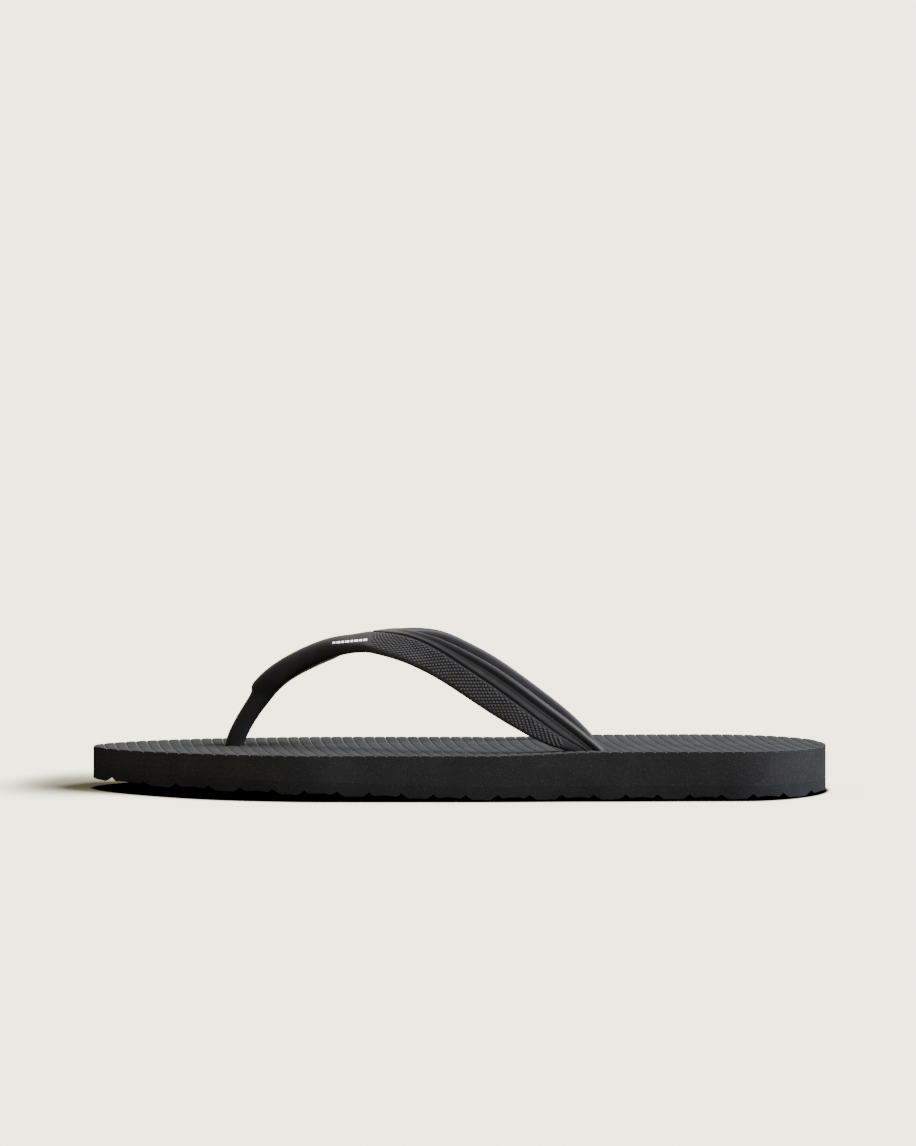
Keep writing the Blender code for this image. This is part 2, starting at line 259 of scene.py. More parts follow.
def spread(tree, value, low, high):
    """0 where value is under low, 1 over high, smooth in between."""
    node = add_node(tree, "ShaderNodeMapRange", {"interpolation_type": "SMOOTHSTEP"}, i0=value)
    node.inputs[1].default_value = low
    node.inputs[2].default_value = high
    return node.outputs[0]


# %% Foam cells
def foam_cells_group():
    group = new_group("foam_cells",
                      [("Foam", "NodeSocketColor", (0.01, 0.01, 0.01, 1.0)),
                       ("Speck", "NodeSocketColor", (0.1, 0.1, 0.1, 1.0)),
                       ("Cell Size", "NodeSocketFloat", 0.0006),
                       ("Speck Share", "NodeSocketFloat", 0.5)],
                      [("Color", "NodeSocketColor", None), ("Height", "NodeSocketFloat", None)])
    given = group.nodes["in"].outputs
    place = add_node(group, "ShaderNodeTexCoord").outputs["Object"]
    fine = math_node(group, "DIVIDE", 1.0, given["Cell Size"])
    cells = add_node(group, "ShaderNodeTexVoronoi", Vector=place, Scale=fine)
    cloud = add_node(group, "ShaderNodeTexNoise", Vector=place, Scale=fine, Detail=4.0)
    wide = add_node(group, "ShaderNodeTexNoise", Vector=place, Scale=90.0, Detail=3.0)
    pick = add_node(group, "ShaderNodeSeparateColor", i0=cells.outputs["Color"]).outputs[0]
    rare = spread(group, pick, 0.86, 0.97)
    speck = math_node(group, "MULTIPLY", rare, given["Speck Share"])
    mottle = spread(group, cloud.outputs[0], 0.42, 0.70)
    faint = math_node(group, "MULTIPLY", given["Speck Share"], 0.35)
    faint = math_node(group, "MULTIPLY", mottle, faint)
    patch = math_node(group, "MULTIPLY", spread(group, wide.outputs[0], 0.35, 0.75), 0.12)
    share = math_node(group, "ADD", math_node(group, "MAXIMUM", speck, faint), patch)
    colour = blend_colour(group, share, given["Foam"], given["Speck"])
    pores = math_node(group, "SUBTRACT", cloud.outputs[0], math_node(group, "MULTIPLY", rare, 0.4))
    group.links.new(colour, group.nodes["out"].inputs["Color"])
    group.links.new(pores, group.nodes["out"].inputs["Height"])
    return group


foam_cells = foam_cells_group()

# %% Rubber grain
def rubber_grain_group():
    group = new_group("rubber_grain",
                      [("Rubber", "NodeSocketColor", (0.01, 0.01, 0.01, 1.0)),
                       ("Bloom", "NodeSocketColor", (0.03, 0.03, 0.03, 1.0)),
                       ("Roughness", "NodeSocketFloat", 0.45)],
                      [("Color", "NodeSocketColor", None), ("Roughness", "NodeSocketFloat", None),
                       ("Height", "NodeSocketFloat", None)])
    given = group.nodes["in"].outputs
    place = add_node(group, "ShaderNodeTexCoord").outputs["Object"]
    grain = add_node(group, "ShaderNodeTexNoise", Vector=place, Scale=4200.0, Detail=3.0)
    haze = add_node(group, "ShaderNodeTexNoise", Vector=place, Scale=140.0, Detail=5.0)
    cloudy = spread(group, haze.outputs[0], 0.35, 0.75)
    half = math_node(group, "MULTIPLY", cloudy, 0.5)
    colour = blend_colour(group, half, given["Rubber"], given["Bloom"])
    rough = math_node(group, "ADD", given["Roughness"], math_node(group, "MULTIPLY", cloudy, 0.09))
    for name, socket in (("Color", colour), ("Roughness", rough), ("Height", grain.outputs[0])):
        group.links.new(socket, group.nodes["out"].inputs[name])
    return group


rubber_grain = rubber_grain_group()

# %% [markdown]
# Each finish puts the groups into a Principled shader. The side walls are raw cut foam,
# nearly black with pale specks. The footbed is the same foam with an embossed skin, where
# fine lines between the ribs are paler. The strap is moulded in a satin rubber; painted
# light makes its colour paler from the neck to the panels.

# %% Finishes
# Along X, where the panels' painted light fades in from the neck.
PANEL_LIGHT_FADE = (-0.052, -0.024)


def new_finish(name, specular):
    material = bpy.data.materials.new(name)
    material.use_nodes = True
    shader = material.node_tree.nodes["Principled BSDF"]
    shader.inputs["Specular IOR Level"].default_value = specular
    return material, material.node_tree, shader


def add_bump(tree, shader, height, distance, strength=1.0):
    bump = add_node(tree, "ShaderNodeBump", Height=height, Distance=distance, Strength=strength)
    tree.links.new(bump.outputs[0], shader.inputs["Normal"])


def use_group(tree, group, **values):
    node = tree.nodes.new("ShaderNodeGroup")
    node.node_tree = group
    for key, value in values.items():
        node.inputs[key.replace("_", " ")].default_value = value
    return node


def foam_finish(name, foam, speck, share, cell=0.00035):
    material, tree, shader = new_finish(name, 0.0)
    cells = use_group(tree, foam_cells, Foam=(*foam, 1.0), Speck=(*speck, 1.0), Speck_Share=share,
                      Cell_Size=cell)
    tree.links.new(cells.outputs["Color"], shader.inputs["Base Color"])
    shader.inputs["Roughness"].default_value = 0.9
    add_bump(tree, shader, cells.outputs["Height"], 0.00012)
    return material


def footbed_finish():
    """Embossed foam skin: the rib_line attribute is 1 in the narrow lines between ribs."""
    material, tree, shader = new_finish("footbed_skin", 0.0)
    cells = use_group(tree, foam_cells, Foam=(0.0060, 0.0062, 0.0068, 1.0),
                      Speck=(0.016, 0.016, 0.017, 1.0), Speck_Share=0.35, Cell_Size=0.0006)
    line = add_node(tree, "ShaderNodeAttribute", {"attribute_name": "rib_line"}).outputs["Fac"]
    place = add_node(tree, "ShaderNodeTexCoord").outputs["Object"]
    streak = add_node(tree, "ShaderNodeTexNoise", Vector=place, Scale=700.0, Detail=2.0)
    broken = math_node(tree, "MULTIPLY", line, spread(tree, streak.outputs[0], 0.15, 0.6))
    colour = blend_colour(tree, broken, cells.outputs["Color"], (0.022, 0.0225, 0.024, 1.0))
    tree.links.new(colour, shader.inputs["Base Color"])
    shader.inputs["Roughness"].default_value = 0.72
    add_bump(tree, shader, cells.outputs["Height"], 0.00010)
    return material


def rubber_finish(name, rubber, bloom, roughness, specular):
    material, tree, shader = new_finish(name, specular)
    grain = use_group(tree, rubber_grain, Rubber=(*rubber, 1.0), Bloom=(*bloom, 1.0),
                      Roughness=roughness)
    tree.links.new(grain.outputs["Color"], shader.inputs["Base Color"])
    tree.links.new(grain.outputs["Roughness"], shader.inputs["Roughness"])
    add_bump(tree, shader, grain.outputs["Height"], 0.00003)
    return material


def panel_finish():
    """Rubber that is darker on the neck and paler on the two panels, where the paler colour is
    painted light.
    """
    material = rubber_finish("panel_rubber", (0.0026, 0.0027, 0.0032), (0.0040, 0.0041, 0.0049),
                             0.50, 0.010)
    tree = material.node_tree
    shader = tree.nodes["Principled BSDF"]
    place = add_node(tree, "ShaderNodeTexCoord").outputs["Object"]
    along = add_node(tree, "ShaderNodeSeparateXYZ", Vector=place).outputs["X"]
    # The colour doubles from the neck to the panels: painted light on the panels.
    pale = math_node(tree, "ADD", 1.0, spread(tree, along, *PANEL_LIGHT_FADE))
    neck = shader.inputs["Base Color"].links[0].from_socket
    scaled = add_node(tree, "ShaderNodeVectorMath", {"operation": "SCALE"}, i0=neck, Scale=pale)
    tree.links.new(scaled.outputs["Vector"], shader.inputs["Base Color"])
    return material


cut_foam = foam_finish("cut_foam", (0.0031, 0.0032, 0.0038), (0.0100, 0.0101, 0.0108), 0.42)
tread_foam = foam_finish("tread_foam", (0.0028, 0.0029, 0.0034), (0.0085, 0.0086, 0.0092), 0.36)
footbed_skin = footbed_finish()
panel_rubber = panel_finish()
band_rubber = rubber_finish("band_rubber", (0.0070, 0.0074, 0.0092), (0.0098, 0.0103, 0.0125),
                            0.45, 0.010)
bead_rubber = rubber_finish("bead_rubber", (0.0033, 0.0035, 0.0042), (0.0048, 0.0050, 0.0060),
                            0.38, 0.012)
pip_rubber = rubber_finish("pip_rubber", (0.0100, 0.0104, 0.0124), (0.0140, 0.0144, 0.0168),
                           0.42, 0.020)
plug_rubber = rubber_finish("plug_rubber", (0.0060, 0.0060, 0.0064), (0.0120, 0.0120, 0.0126),
                            0.50, 0.030)
print_ink = rubber_finish("print_ink", (0.17, 0.17, 0.18), (0.26, 0.26, 0.27),
                          0.60, 0.05)
print("finishes", sorted(material.name for material in bpy.data.materials))

# %% [markdown]
# All three foam sheets are die-cut to one outline. It is worked out from a few sizes: a
# tapered toe, a full ball, a slight waist and a rounded heel. The heights are simple
# curves along the sole: the foot surface rises a little towards the heel, and the
# underside lifts off the ground under the toes.

# %% Sole outline and heights
sole_low, sole_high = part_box("footbed_sheet")
TOE_X = float(sole_low[0])
SOLE_LENGTH = float(sole_high[0] - sole_low[0])
BALL_HALF = 0.5 * float(sole_high[1] - sole_low[1])
WAIST_HALF = 0.0451
HEEL_HALF = 0.0454
TOE_TAPER = 0.095
BALL_END = 0.145
WAIST_AT = 0.192
HEEL_ROUND = 0.0445
HEEL_START = SOLE_LENGTH - HEEL_ROUND
TOE_SHIFT = 0.003
WAIST_SHIFT = -0.0018
FOREFOOT_TOP = 0.0164
HEEL_TOP = float(sole_high[2])
TOE_SPRING = 0.004
SPRING_LENGTH = 0.145
FOOTBED_THICKNESS = 0.0030
OUTSOLE_THICKNESS = 0.0050
SEAM = 0.00002


def half_width(x):
    """Half the sole's width at x; negative past the ends."""
    along = np.asarray(x, dtype=float) - TOE_X
    toe = np.clip((TOE_TAPER - along) / TOE_TAPER, 0.0, None)
    heel = np.clip((along - HEEL_START) / HEEL_ROUND, 0.0, None)
    width = BALL_HALF + (WAIST_HALF - BALL_HALF) * ease(along, BALL_END, WAIST_AT)
    width = width + (HEEL_HALF - WAIST_HALF) * ease(along, WAIST_AT, HEEL_START)
    taper = np.clip(1.0 - toe ** 1.7, 0.0, 1.0) ** 0.55
    rounding = np.clip(1.0 - heel ** 2.2, 0.0, 1.0) ** (1.0 / 2.2)
    past = np.maximum(toe - 1.0, heel - 1.0)
    return np.where(past > 0.0, -past, width * taper * rounding)


def centre_shift(x):
    """Sideways place of the outline's middle line."""
    along = np.asarray(x, dtype=float) - TOE_X
    toe = TOE_SHIFT * (1.0 - ease(along, 0.0, TOE_TAPER))
    waist = ease(along, BALL_END, WAIST_AT) * (1.0 - ease(along, WAIST_AT, HEEL_START))
    return toe + WAIST_SHIFT * waist


def foot_surface(x):
    rise = ease(np.asarray(x, dtype=float) - TOE_X, 0.155, 0.198)
    return FOREFOOT_TOP + (HEEL_TOP - FOREFOOT_TOP) * rise


def underside(x):
    lift = np.clip(1.0 - (np.asarray(x, dtype=float) - TOE_X) / SPRING_LENGTH, 0.0, None)
    softness = 0.0025
    start = softness ** 0.4
    full = (1.0 + softness) ** 0.4 - start
    return TOE_SPRING * ((lift * lift + softness) ** 0.4 - start) / full


def outline_points(count):
    """Points round the outline, close together where it turns."""
    steps = np.linspace(0.0, math.pi, count // 2 + 1)
    x = TOE_X + 0.5 * SOLE_LENGTH * (1.0 - np.cos(steps))
    outer = np.stack([x, centre_shift(x) - half_width(x)], axis=1)
    inner = np.stack([x, centre_shift(x) + half_width(x)], axis=1)
    return np.concatenate([outer, inner[-2:0:-1]])


outline_dense = outline_points(4000)
print("outline", outline_dense.min(axis=0).round(4), outline_dense.max(axis=0).round(4))


def edge_distance(points):
    """How far each point lies inside the outline."""
    tree = KDTree(len(outline_dense))
    for i, (x, y) in enumerate(outline_dense):
        tree.insert((x, y, 0.0), i)
    tree.balance()
    return np.array([tree.find((x, y, 0.0))[2] for x, y in points])


def rounded_edge(distance, radius):
    """Drop of a rounded edge at a distance inside it."""
    reach = np.clip(radius - distance, 0.0, radius)
    return radius - np.sqrt(radius * radius - reach * reach)

# %% [markdown]
# The two sheets that show a moulded face start as a grid. Its columns are pulled onto
# lines that run across the sole, so that a groove or a rib always follows grid edges and
# stays crisp. Each line is cut off where it meets the outline. The grid's border is then
# extruded to make the side wall, and closed with one face.

# %% Sheets from a grid
ACROSS_LIMIT = 0.06
TIP_STRETCH = 0.0035
TIP_COLUMNS = 12
FLAT_ANGLE = math.radians(30.0)


def chord_ends(line_x, positions):
    """Where each cross line enters and leaves the outline; line_x(position, y) is its x."""
    y = np.linspace(-ACROSS_LIMIT, ACROSS_LIMIT, 241)[None, :]
    position = positions[:, None]

    def inside(at_y):
        x = line_x(position, at_y)
        return half_width(x) - np.abs(at_y - centre_shift(x))

    depth = inside(y)
    middle = y[0, depth.argmax(axis=1)][:, None]
    ends = []
    for limit in (-ACROSS_LIMIT, ACROSS_LIMIT):
        far = np.full_like(middle, limit)
        near = middle.copy()
        for _ in range(40):
            trial = 0.5 * (near + far)
            ok = inside(trial) > 0.0
            near = np.where(ok, trial, near)
            far = np.where(ok, far, trial)
        ends.append(near[:, 0])
    return ends[0], ends[1], depth.max(axis=1)


def fit_columns(line_x, positions):
    """Adds close columns at both tips of the outline, where its ends turn quickly."""
    scan = np.linspace(positions[0], positions[-1], 2400)
    depth = chord_ends(line_x, scan)[2]
    first, last = scan[depth > 0.0][[0, -1]]
    step = TIP_STRETCH * np.linspace(0.0, 1.0, TIP_COLUMNS) ** 2
    clear = TIP_STRETCH + 0.0001
    kept = positions[(positions > first + clear) & (positions < last - clear)]
    return np.concatenate([first + step, kept, (last - step)[::-1]])


def grid_sheet(name, line_x, positions, rows):
    """A flat grid whose columns lie on the cross lines, and its column and row places."""
    outer, inner, _ = chord_ends(line_x, positions)
    outer[[0, -1]] = inner[[0, -1]] = 0.5 * (outer[[0, -1]] + inner[[0, -1]])
    clear_selection()
    bpy.ops.mesh.primitive_grid_add(x_subdivisions=len(positions) - 1,
                                    y_subdivisions=len(rows) - 1, size=2.0)
    sheet = bpy.context.object
    grid = vertex_array(sheet)
    column = grid_index(grid[:, 0], len(positions) - 1)
    row = grid_index(grid[:, 1], len(rows) - 1)
    y = outer[column] + (inner[column] - outer[column]) * rows[row]
    points = np.stack([line_x(positions[column], y), y, np.zeros(len(y))], axis=1)
    set_vertices(sheet, points)
    name_piece(sheet, name)
    return sheet, positions[column]


def extrude_border(sheet, height):
    """Extrudes the selected border, and moves the new corners to height(x, z)."""
    bpy.ops.mesh.extrude_region_move(TRANSFORM_OT_translate={"value": (0.0, 0.0, -0.001)})
    bpy.ops.object.mode_set(mode="OBJECT")
    points = vertex_array(sheet)
    moved = selected_points(sheet)
    points[moved, 2] = height(points[moved, 0], points[moved, 2] + 0.001)
    set_vertices(sheet, points)
    bpy.ops.object.mode_set(mode="EDIT")


def wall_and_close(sheet, end_height, margin):
    """Extrudes the border into a wall up to end_height(x), and closes the sheet there.

    A first short step of the size margin keeps the wall's shading flat.
    """
    make_active(sheet)
    bpy.ops.object.mode_set(mode="EDIT")
    bpy.ops.mesh.select_mode(type="VERT")
    bpy.ops.mesh.select_all(action="SELECT")
    bpy.ops.mesh.remove_doubles(threshold=1e-6)
    bpy.ops.mesh.select_all(action="DESELECT")
    bpy.ops.mesh.select_non_manifold()
    extrude_border(sheet, lambda x, z: z + margin)
    extrude_border(sheet, lambda x, z: end_height(x))
    bpy.ops.mesh.edge_face_add()
    finish_edit()
    bpy.ops.object.shade_smooth_by_angle(angle=FLAT_ANGLE)


def report_piece(piece):
    triangles = sum(len(face.vertices) - 2 for face in piece.data.polygons)
    print(piece.name, "triangles", triangles)


EDGE_ROWS = np.array([0.0, 0.0015, 0.0035, 0.0065, 0.011, 0.02, 0.035])
MIDDLE_ROWS = np.linspace(0.06, 0.94, 23)
SHEET_ROWS = np.concatenate([EDGE_ROWS, MIDDLE_ROWS, 1.0 - EDGE_ROWS[::-1]])

# %% [markdown]
# The footbed's ribs are not straight across. They lean back on the outer side, more under
# the toes than at the heel, and bow a little. Each rib is a low crown between two narrow
# pressed lines. The vertices also carry an attribute that is 1 in those lines, for the
# finish to read.

# %% Footbed sheet
RIB_PITCH = 0.0043
RIB_LINE_HALF = 0.00042
RIB_DEPTH = 0.00026
RIB_CROWN = 0.00010
RIB_BOW = 0.8


def rib_line_x(position, y):
    lean = np.clip(0.20 - 0.74 * (position + 0.130), 0.02, 0.22)
    return position - lean * y + RIB_BOW * y * y


def rib_columns():
    steps = np.array([-0.11, -0.07, -0.035, 0.0, 0.035, 0.07, 0.11, 0.22, 0.36, 0.5, 0.64, 0.78])
    ribs = np.arange(-38, 39)
    return ((ribs[:, None] + steps[None, :]) * RIB_PITCH).ravel()


def rib_shape(position):
    """Height of the ribs over the footbed, and how far each place lies in a line."""
    phase = position / RIB_PITCH
    from_line = np.abs(phase - np.rint(phase)) * RIB_PITCH
    line = np.clip(1.0 - from_line / RIB_LINE_HALF, 0.0, 1.0)
    crown = np.sin(math.pi * np.clip(from_line / (0.5 * RIB_PITCH), 0.0, 1.0) * 0.5)
    return RIB_CROWN * crown - RIB_DEPTH * line, line


def build_footbed():
    columns = fit_columns(rib_line_x, rib_columns())
    sheet, position = grid_sheet("footbed", rib_line_x, columns, SHEET_ROWS)
    points = vertex_array(sheet)
    ribs, line = rib_shape(position)
    drop = rounded_edge(edge_distance(points[:, :2]), 0.0003)
    points[:, 2] = foot_surface(points[:, 0]) + ribs - drop
    set_vertices(sheet, points)
    mark = sheet.data.attributes.new("rib_line", "FLOAT", "POINT")
    mark.data.foreach_set("value", line)
    wall_and_close(sheet, lambda x: foot_surface(x) - FOOTBED_THICKNESS, -0.0003)
    sheet.data.materials.append(footbed_skin)
    sheet.data.materials.append(cut_foam)
    for face in sheet.data.polygons:
        face.material_index = 0 if face.normal.z > 0.5 else 1
    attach(sheet, "root")
    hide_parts("footbed_sheet")
    report_piece(sheet)


build_footbed()

# %% [markdown]
# The core is a plain slab between the other two sheets. A circle is pulled onto the
# outline and extruded once, because a die cuts a straight wall.

# %% Midsole core
def build_core():
    ring = outline_points(1000)
    clear_selection()
    bpy.ops.mesh.primitive_circle_add(vertices=len(ring), radius=0.05, fill_type="NGON")
    core = bpy.context.object
    bottom = underside(ring[:, 0]) + OUTSOLE_THICKNESS + SEAM
    set_vertices(core, np.column_stack([ring, bottom]))
    bpy.ops.object.mode_set(mode="EDIT")
    bpy.ops.mesh.select_all(action="SELECT")
    bpy.ops.mesh.extrude_region_move(TRANSFORM_OT_translate={"value": (0.0, 0.0, 0.001)})
    bpy.ops.object.mode_set(mode="OBJECT")
    points = vertex_array(core)
    moved = selected_points(core)
    points[moved, 2] = foot_surface(points[moved, 0]) - FOOTBED_THICKNESS - SEAM
    set_vertices(core, points)
    bpy.ops.object.mode_set(mode="EDIT")
    finish_edit()
    bpy.ops.object.shade_smooth_by_angle(angle=math.radians(40.0))
    core.data.materials.append(cut_foam)
    name_piece(core, "core")
    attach(core, "root")
    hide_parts("midsole_core")
    report_piece(core)


build_core()

# %% [markdown]
# Straight grooves run right across the outsole. Between them stand flat lugs, and every
# other lug is scooped away a little where it meets the side wall. The sheet is the same
# kind of grid, seen from below, with its wall extruded upwards.

# %% Outsole
GROOVE_DEPTH = 0.0018
GROOVE_HALF = 0.0029
GROOVE_PITCH = 0.01183
TOE_STRETCH = 0.00215
STRETCH_FADE = 0.6
FIRST_GROOVE = 0.0098
PLUG_NODES = ("toe_plug", "outer_plug", "inner_plug")
SCOOP_HEIGHT = 0.0009
SCOOP_REACH = 0.0045


def groove_places():
    places = [TOE_X + FIRST_GROOVE]
    stretch = TOE_STRETCH
    while places[-1] + GROOVE_PITCH + stretch < TOE_X + SOLE_LENGTH - 0.006:
        places.append(places[-1] + GROOVE_PITCH + stretch)
        stretch *= STRETCH_FADE
    return np.array(places)


grooves = groove_places()


def groove_rise(x):
    """Height of the grooves over the lugs: a sharp V whose lips flare out."""
    from_groove = np.abs(np.asarray(x)[:, None] - grooves[None, :]).min(axis=1)
    return GROOVE_DEPTH * np.clip(1.0 - from_groove / GROOVE_HALF, 0.0, 1.0) ** 1.4


def lug_scoop(x, distance):
    """Height cut away from every other lug near the side wall."""
    lug = np.searchsorted(grooves, x)
    start = np.concatenate([[TOE_X], grooves])[lug]
    end = np.concatenate([grooves, [TOE_X + SOLE_LENGTH]])[lug]
    across = (np.asarray(x) - 0.5 * (start + end)) / (0.5 * (end - start))
    lens = np.clip(1.0 - across ** 2, 0.0, 1.0)
    fade = np.clip(1.0 - distance / SCOOP_REACH, 0.0, 1.0)
    return np.where(lug % 2 == 1, SCOOP_HEIGHT * lens * fade, 0.0)


def straight_line_x(position, y):
    return position + 0.0 * y


def tread_columns():
    near = np.array([-2.9, -2.3, -1.7, -1.2, -0.7, -0.3, 0.0, 0.3, 0.7, 1.2, 1.7, 2.3, 2.9]) * MM
    columns = (grooves[:, None] + near[None, :]).ravel()
    lugs = 0.5 * (grooves[1:] + grooves[:-1])
    flats = (lugs[:, None] + np.array([-2.2, -1.1, 0.0, 1.1, 2.2])[None, :] * MM).ravel()
    heel = np.arange(grooves[-1] + 0.004, TOE_X + SOLE_LENGTH, 0.0015)
    return np.unique(np.concatenate([[TOE_X], columns, flats, heel, [TOE_X + SOLE_LENGTH]]))


def stadium_block(node, gap, low, high):
    """A solid stadium round the box of a node, from a cylinder whose halves move apart."""
    box_low, box_high = (np.array(corner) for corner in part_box(node))
    middle, size = 0.5 * (box_low + box_high), box_high - box_low
    clear_selection()
    bpy.ops.mesh.primitive_cylinder_add(vertices=64, radius=0.5 * size[1] + gap, depth=1.0)
    block = bpy.context.object
    points = vertex_array(block)
    points[:, 0] += 0.5 * (size[0] - size[1]) * np.sign(np.round(points[:, 0], 6))
    points[:, :2] += middle[:2]
    points[:, 2] = np.where(points[:, 2] > 0.0, high, low)
    set_vertices(block, points)
    return block


def cut_pocket(sheet, node):
    """Cuts the pocket of one plug into the sheet's lower face."""
    box_low, box_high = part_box(node)
    cutter = stadium_block(node, 0.0002, float(box_low[2]) - 0.004, float(box_high[2]) + 0.0001)
    make_active(sheet)
    apply_modifier(sheet, "BOOLEAN", operation="DIFFERENCE", object=cutter)
    bpy.data.objects.remove(cutter)


def build_outsole():
    columns = fit_columns(straight_line_x, tread_columns())
    sheet, _ = grid_sheet("outsole", straight_line_x, columns, SHEET_ROWS)
    points = vertex_array(sheet)
    distance = edge_distance(points[:, :2])
    lugs = underside(points[:, 0]) + lug_scoop(points[:, 0], distance)
    roof = underside(points[:, 0]) + groove_rise(points[:, 0])
    points[:, 2] = np.maximum(lugs, roof) + rounded_edge(distance, 0.0004)
    set_vertices(sheet, points)
    wall_and_close(sheet, lambda x: underside(x) + OUTSOLE_THICKNESS, 0.0003)
    for node in PLUG_NODES:
        cut_pocket(sheet, node)
    sheet.data.materials.clear()
    sheet.data.materials.append(tread_foam)
    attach(sheet, "root")
    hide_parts("outsole_tread")
    report_piece(sheet)


build_outsole()

# %% [markdown]
# Three plugs hold the strap's feet from below. Each is a short stadium block. Its lower
# face is inset and raised twice, which leaves a rim and a low disc inside, and a small
# bevel softens every edge.

# %% Plugs
def step_face(plug, inset, rise):
    """Insets the lower face and moves the new face by rise."""
    bpy.ops.mesh.inset(thickness=inset, depth=0.0)
    bpy.ops.transform.translate(value=(0.0, 0.0, rise))


def build_plug(node):
    box_low, box_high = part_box(node)
    plug = stadium_block(node, -0.00005, float(box_low[2]), float(box_high[2]))
    select_points(plug, vertex_array(plug)[:, 2] < float(box_low[2]) + 1e-5)
    bpy.ops.object.mode_set(mode="EDIT")
    bpy.ops.mesh.select_mode(type="FACE")
    step_face(plug, 0.0009, 0.0)
    step_face(plug, 0.0004, 0.0004)
    step_face(plug, 0.0010, 0.0)
    step_face(plug, 0.0003, -0.0003)
    bpy.ops.mesh.select_all(action="DESELECT")
    bpy.ops.object.mode_set(mode="OBJECT")
    apply_modifier(plug, "BEVEL", width=0.00015, segments=2)
    bpy.ops.object.shade_smooth_by_angle(angle=FLAT_ANGLE)
    plug.data.materials.append(plug_rubber)
    name_piece(plug, node + "_disc")
    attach(plug, "root")
    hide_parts(node)
    report_piece(plug)


for plug_node in PLUG_NODES:
    build_plug(plug_node)

# %% [markdown]
# The strap is one moulding: two blades that rise from the sole's edges, meet in a yoke
# over the foot, and run forward into a neck and a toe post. Its path is a row of
# stations. A station gives the blade's front edge and rear edge, in millimetres from the
# middle line and from the forefoot's surface. Both sides share the row, and each side is
# stretched sideways until its foot meets the place where the blade enters the sole.

# %% Strap stations
POST_Y = 0.003
BASE_X = 0.0475
BASE_HALF = 0.00765
STRAP_REACH = 0.0388
OUTER_BASE_Y = float(centre_shift(BASE_X) - half_width(BASE_X)) + 0.008
INNER_BASE_Y = float(centre_shift(BASE_X) + half_width(BASE_X)) - 0.0155
BLADE = 3.4
MOUTH = 3
INNER_LIFT = 0.0023

HALF_STRAP = np.array([
    [(30.9, 39.4, 4.2), (45.5, 38.3, 9.4)],
    [(18.5, 38.5, 10.9), (29.0, 37.4, 21.8)],
    [(8.2, 36.5, 17.3), (15.7, 34.0, 31.2)],
    [(-2.5, 33.5, 24.3), (4.5, 29.5, 37.3)],
    [(-11.5, 30.0, 29.6), (-6.0, 22.5, 42.0)],
    [(-22.5, 25.0, 34.5), (-15.5, 13.5, 44.2)],
    [(-32.5, 19.0, 37.3), (-21.0, 6.5, 44.6)],
    [(-39.5, 11.0, 40.0), (-23.0, 2.5, 44.6)],
    [(-42.5, 0.0, 42.0), (-23.3, 0.0, 44.5)],
])
GROOVE_SHARE = np.array([0.50, 0.48, 0.56, 0.59, 0.62, 0.68, 0.73, 0.72, 0.62, 0.44])
GROOVE_FADE = np.array([0.0, 0.3, 1.0, 1.0, 1.0, 1.0, 1.0, 1.0, 1.0, 1.0])
BEAD_WIDTH = np.array([5.0, 4.3, 3.6, 3.4, 3.4, 3.2, 3.0, 3.0, 3.0, 3.0])
BEAD_FADE = np.array([1.0, 1.0, 1.0, 0.95, 0.55, 0.15, 0.0, 0.0, 0.0, 0.0])


def strap_middle(x):
    return POST_Y * (1.0 - ease(x, -0.080, 0.020))


def place_side(side, base_y):
    """The stations of one side in metres, foot first."""
    points = HALF_STRAP * MM
    x, y, height = points[..., 0], points[..., 1], points[..., 2]
    reach = abs(base_y - float(strap_middle(BASE_X)))
    y = y * (1.0 + (reach / STRAP_REACH - 1.0) * np.clip(y / STRAP_REACH, 0.0, 1.0))
    if side > 0:
        height = height + INNER_LIFT * ease(x, -0.024, -0.006) * ease(-x, -0.060, -0.040)
    placed = np.stack([x, strap_middle(x) + side * y, FOREFOOT_TOP + height], axis=-1)
    top = float(max(foot_surface(BASE_X - BASE_HALF), foot_surface(BASE_X + BASE_HALF)))
    foot = np.array([[(BASE_X - BASE_HALF, base_y, top), (BASE_X + BASE_HALF, base_y, top)]])
    return np.concatenate([foot, placed])


def smooth_row(points, steps):
    """More points on a smooth curve through the given ones."""
    padded = np.concatenate([points[:1], points, points[-1:]])
    p0, p1, p2, p3 = padded[:-3], padded[1:-2], padded[2:-1], padded[3:]
    rows = []
    for step in range(steps):
        t = step / steps
        bend = (2.0 * p0 - 5.0 * p1 + 4.0 * p2 - p3) * t + (3.0 * p1 - p0 - 3.0 * p2 + p3) * t * t
        rows.append(p1 + 0.5 * t * ((p2 - p0) + bend))
    smooth = np.stack(rows, axis=1).reshape(-1, *points.shape[1:])
    return np.concatenate([smooth, points[-1:]])


def both_sides(values):
    """A row of values for the whole strap, from a row that runs from a foot to the middle."""
    return np.concatenate([values, values[-2::-1]])


outer_side = place_side(-1, OUTER_BASE_Y)
inner_side = place_side(1, INNER_BASE_Y)
RING_STEPS = 2
strap_edges = smooth_row(np.concatenate([outer_side, inner_side[-2::-1]]), RING_STEPS)
groove_share = smooth_row(both_sides(GROOVE_SHARE), RING_STEPS)
groove_fade = smooth_row(both_sides(GROOVE_FADE), RING_STEPS)
bead_width = smooth_row(both_sides(BEAD_WIDTH), RING_STEPS)
bead_fade = smooth_row(both_sides(BEAD_FADE), RING_STEPS)
print("strap rings", len(strap_edges), "outer foot", OUTER_BASE_Y, "inner foot", INNER_BASE_Y)

# %% [markdown]
# Across the blade, the section runs from the front edge over the panel to a fine groove,
# then over a smooth band, a thin raised line and a rounded bead to the rear edge, and
# back along the flat underside. Each corner of the section is a distance from the front
# edge and a height over the blade's face, in millimetres.

